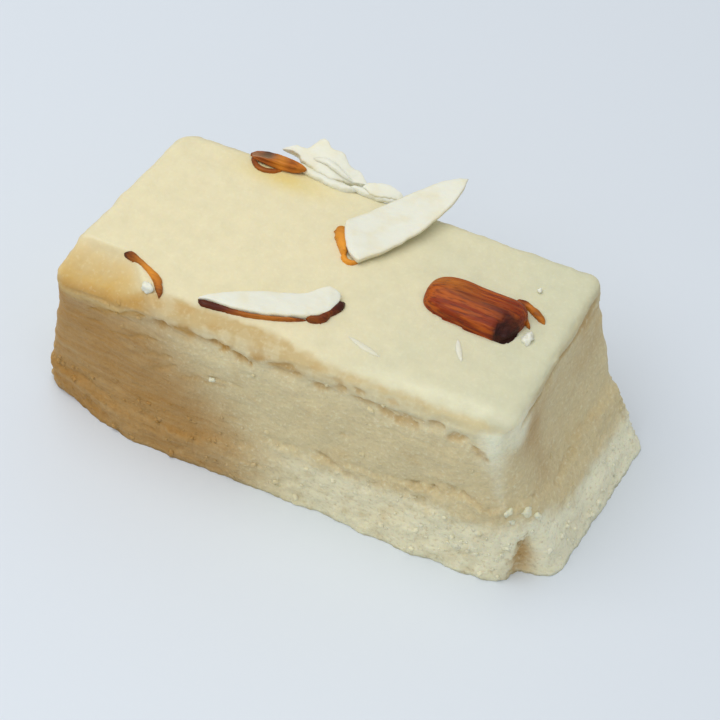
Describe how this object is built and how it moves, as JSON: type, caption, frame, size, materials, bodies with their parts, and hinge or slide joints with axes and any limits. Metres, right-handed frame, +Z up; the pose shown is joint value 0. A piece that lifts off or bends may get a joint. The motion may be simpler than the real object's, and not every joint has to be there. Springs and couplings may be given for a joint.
{
  "type": "barfi sweet",
  "caption": "Long hand-cut bar of pale milk barfi with a smooth top, crumbly base, one worn corner, a flared end and almond pieces on top.",
  "frame": {"origin": "middle of the flat underside, on the surface that the bar stands on", "axes": "+X along the bar towards its flared end, +Y across it towards the side with the thin slices at the edge, +Z up"},
  "size_m": [0.0841, 0.0384, 0.0386],
  "materials": {
    "milk_fudge": "soft satin milk fudge, cream on top and tan on the cut sides",
    "almond_skin": "dull red-brown almond skin",
    "almond_flesh": "off-white cut almond"
  },
  "bodies": {
    "root": {"barfi_bar": "milk_fudge", "almond_piece": "almond_skin", "almond_chip": "almond_skin", "half_moon_slice": "almond_flesh", "pointed_slice": "almond_flesh", "back_slice_long": "almond_flesh", "back_slice_short": "almond_flesh"}
  },
  "joints": []
}
